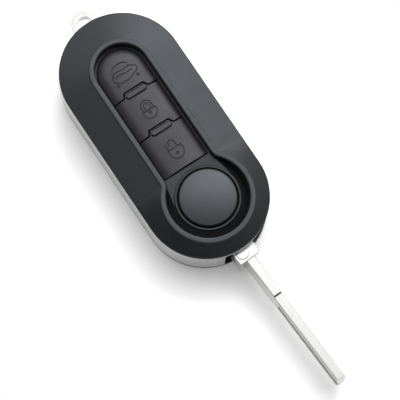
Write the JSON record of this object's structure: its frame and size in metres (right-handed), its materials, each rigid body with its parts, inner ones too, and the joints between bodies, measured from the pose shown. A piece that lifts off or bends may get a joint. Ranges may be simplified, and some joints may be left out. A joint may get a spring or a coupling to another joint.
{
  "type": "key fob shell",
  "caption": "Flip key fob shell with push buttons, a round release button, a fold-out uncut blade, a side slot for it, a keyring ear and a battery drawer.",
  "frame": {"origin": "centre of the flat back face", "axes": "+Y towards the keyring ear, +Z out of the buttons, +X towards the blade slot"},
  "size_m": [0.034, 0.1229, 0.0172],
  "materials": {
    "shell_black": "fine spark-eroded matte black",
    "button_black": "soft-touch matte black",
    "collar_black": "satin black",
    "dome_black": "satin black",
    "silver_trim": "satin silver plating on plastic",
    "head_chrome": "satin chrome on a zinc casting",
    "blade_steel": "nickelled steel, fine milling marks",
    "spring_steel": "plain spring wire",
    "chassis_plastic": "black moulded plastic",
    "mat_silicone": "dark grey silicone",
    "contact_metal": "nickelled spring brass"
  },
  "bodies": {
    "housing": {"front_cover": "shell_black", "silver_frame": "silver_trim", "rear_cover": "shell_black", "inner_chassis": "chassis_plastic", "keypad_mat": "mat_silicone", "release_collar": "collar_black", "release_spring": "spring_steel", "pivot_pin": "blade_steel", "flip_spring": "spring_steel", "battery_contact_positive": "contact_metal", "battery_contact_negative": "contact_metal", "chassis_screws": "spring_steel"},
    "blade": {"blade_carrier": "head_chrome", "key_blade": "blade_steel", "blade_roll_pin": "spring_steel"},
    "release_knob": {"release_button": "dome_black"},
    "unlock_key": {"unlock_button": "button_black"},
    "lock_key": {"lock_button": "button_black"},
    "trunk_key": {"trunk_button": "button_black"},
    "drawer": {"battery_drawer": "chassis_plastic"},
    "drawer_lock": {"drawer_lock_screw": "blade_steel"}
  },
  "joints": [
    {"name": "blade_flip", "type": "hinge", "parent": "housing", "child": "blade", "pos_m": [0.0069, -0.0265, 0.00665], "axis": [0, 0, 1], "range_deg": [0, 176.8], "stiffness_Nm_per_rad": 0.004, "springref_deg": -34.38},
    {"name": "release_press", "type": "slide", "parent": "housing", "child": "release_knob", "axis": [0, 0, -1], "range_m": [0, 0.0015], "stiffness_N_per_m": 500, "springref_m": -0.002, "deforming": ["release_spring"]},
    {"name": "unlock_press", "type": "slide", "parent": "housing", "child": "unlock_key", "axis": [0, 0, -1], "range_m": [0, 0.0005], "stiffness_N_per_m": 1200, "springref_m": -0.0005},
    {"name": "lock_press", "type": "slide", "parent": "housing", "child": "lock_key", "axis": [0, 0, -1], "range_m": [0, 0.0005], "stiffness_N_per_m": 1200, "springref_m": -0.0005},
    {"name": "trunk_press", "type": "slide", "parent": "housing", "child": "trunk_key", "axis": [0, 0, -1], "range_m": [0, 0.0005], "stiffness_N_per_m": 1200, "springref_m": -0.0005},
    {"name": "drawer_slide", "type": "slide", "parent": "housing", "child": "drawer", "axis": [-1, 0, 0], "range_m": [-0.016, 0]},
    {"name": "drawer_lock_turn", "type": "hinge", "parent": "housing", "child": "drawer_lock", "pos_m": [0.011, 0.0184, 0.0065], "axis": [1, 0, 0], "range_deg": [0, 90]}
  ]
}
